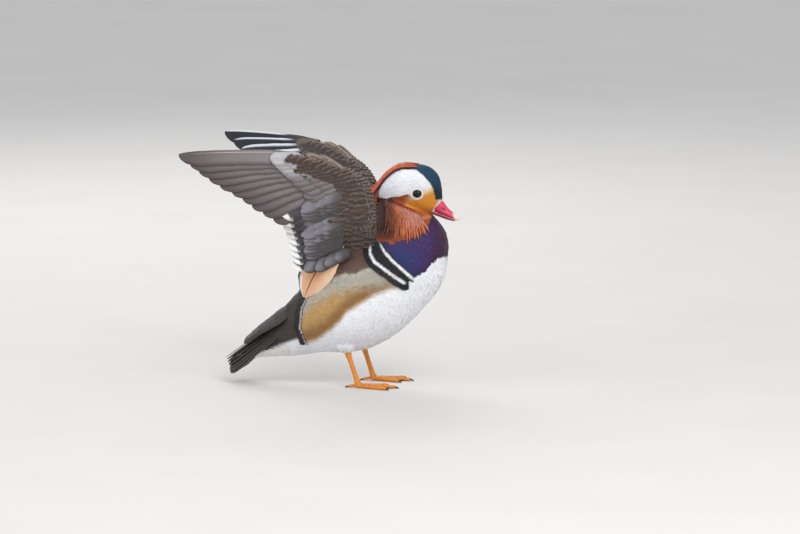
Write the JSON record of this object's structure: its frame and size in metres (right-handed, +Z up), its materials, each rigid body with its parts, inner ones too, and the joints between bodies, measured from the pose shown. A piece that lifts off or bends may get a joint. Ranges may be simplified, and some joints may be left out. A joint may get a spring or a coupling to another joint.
{
  "type": "mandarin duck",
  "caption": "Life-size standing mandarin drake with both wings raised and held back, crested head, ruff of hackles and webbed feet",
  "frame": {"origin": "middle of the whole bird's box at floor level, under the soles", "axes": "+X the way the bird faces, +Y its left side, +Z up"},
  "size_m": [0.3004, 0.2798, 0.2782],
  "materials": {
    "body_plumage": "soft small feathers: white belly, ochre flank, violet breast",
    "ruff": "silky chestnut hackles with pale shafts",
    "head_plumage": "silky: white brow, teal and copper crown",
    "wing_feathers": "satin grey-brown vanes",
    "tail_feathers": "satin dark brown vanes",
    "bill": "smooth waxy crimson with a pale nail",
    "eye": "polished dark brown",
    "leg_skin": "fine scales, orange with dusky webs"
  },
  "bodies": {
    "root": {"torso": "body_plumage", "neck": "ruff", "head": "head_plumage", "bill_upper": "bill", "bill_lower": "bill", "eye_R": "eye", "eye_L": "eye", "wing_R": "wing_feathers", "wing_L": "wing_feathers", "tail": "tail_feathers", "leg_R": "leg_skin", "leg_L": "leg_skin", "foot_R": "leg_skin", "foot_L": "leg_skin"}
  },
  "joints": []
}
